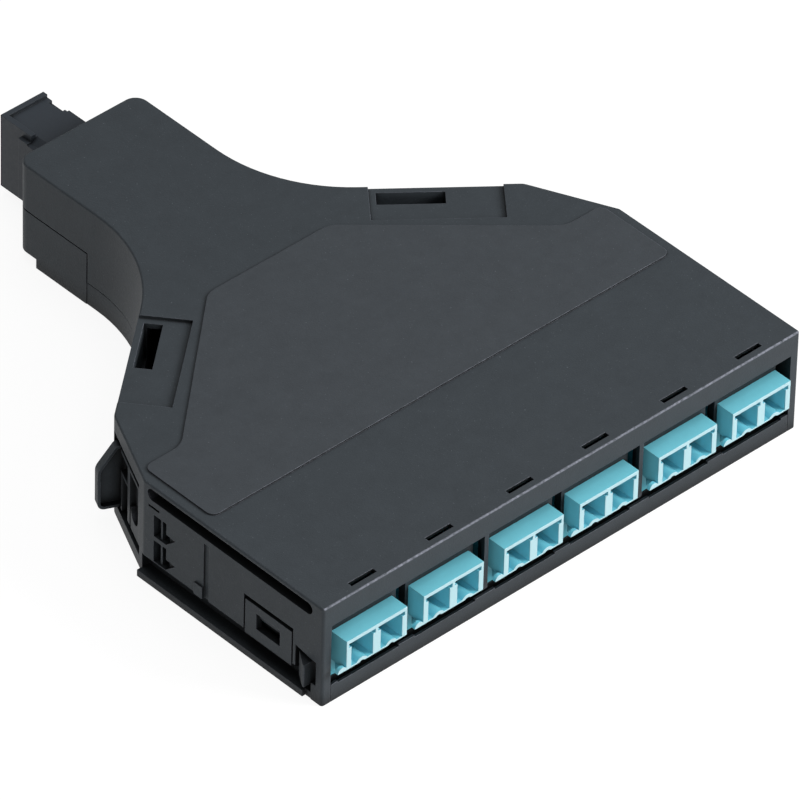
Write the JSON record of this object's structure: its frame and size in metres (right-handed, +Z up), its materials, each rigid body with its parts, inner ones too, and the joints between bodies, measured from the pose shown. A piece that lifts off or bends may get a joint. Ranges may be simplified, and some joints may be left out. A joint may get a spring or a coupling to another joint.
{
  "type": "fibre cassette",
  "caption": "Flat black fibre cassette with duplex LC adapters along the front, a tapered rear neck holding one MPO adapter, and sprung thumb latches at its rear corners.",
  "frame": {"origin": "middle of the front face's lower edge, on the underside", "axes": "+X to the right along the row of adapters, +Y to the rear along the neck, +Z up"},
  "size_m": [0.1064, 0.1319, 0.0203],
  "materials": {
    "housing_plastic": "fine grained moulded plastic",
    "adapter_plastic": "smooth aqua moulded plastic",
    "zirconia": "polished white ceramic",
    "plug_plastic": "smooth moulded plastic",
    "boot_rubber": "soft moulded rubber",
    "fibre_jacket": "smooth extruded jacket",
    "ribbon_jacket": "smooth ribbon coating",
    "fanout_plastic": "smooth moulded plastic",
    "connector_plastic": "smooth moulded plastic",
    "ferrule_plastic": "polished glass filled plastic",
    "pin_steel": "ground stainless steel"
  },
  "bodies": {
    "housing": {"alignment_sleeves": "zirconia", "base_tray": "housing_plastic", "fanout_block": "fanout_plastic", "fibre_ribbon": "ribbon_jacket", "guide_pins": "pin_steel", "inner_boots": "boot_rubber", "inner_ferrules": "zirconia", "inner_fibres": "fibre_jacket", "inner_plugs": "plug_plastic", "lc_adapter_1": "adapter_plastic", "lc_adapter_2": "adapter_plastic", "lc_adapter_3": "adapter_plastic", "lc_adapter_4": "adapter_plastic", "lc_adapter_5": "adapter_plastic", "lc_adapter_6": "adapter_plastic", "mpo_adapter": "connector_plastic", "mpo_ferrule": "ferrule_plastic", "mpo_plug": "connector_plastic", "top_cover": "housing_plastic"},
    "latch_left": {"side_latch_left": "housing_plastic"},
    "latch_right": {"side_latch_right": "housing_plastic"}
  },
  "joints": [
    {"name": "latch_right_pivot", "type": "hinge", "parent": "housing", "child": "latch_right", "pos_m": [0.04802, 0.04478, 0.0095], "axis": [0, 0, 1], "range_deg": [0, 6], "stiffness_Nm_per_rad": 0.5},
    {"name": "latch_left_pivot", "type": "hinge", "parent": "housing", "child": "latch_left", "pos_m": [-0.04802, 0.04478, 0.0095], "axis": [0, 0, -1], "range_deg": [0, 6], "stiffness_Nm_per_rad": 0.5}
  ]
}
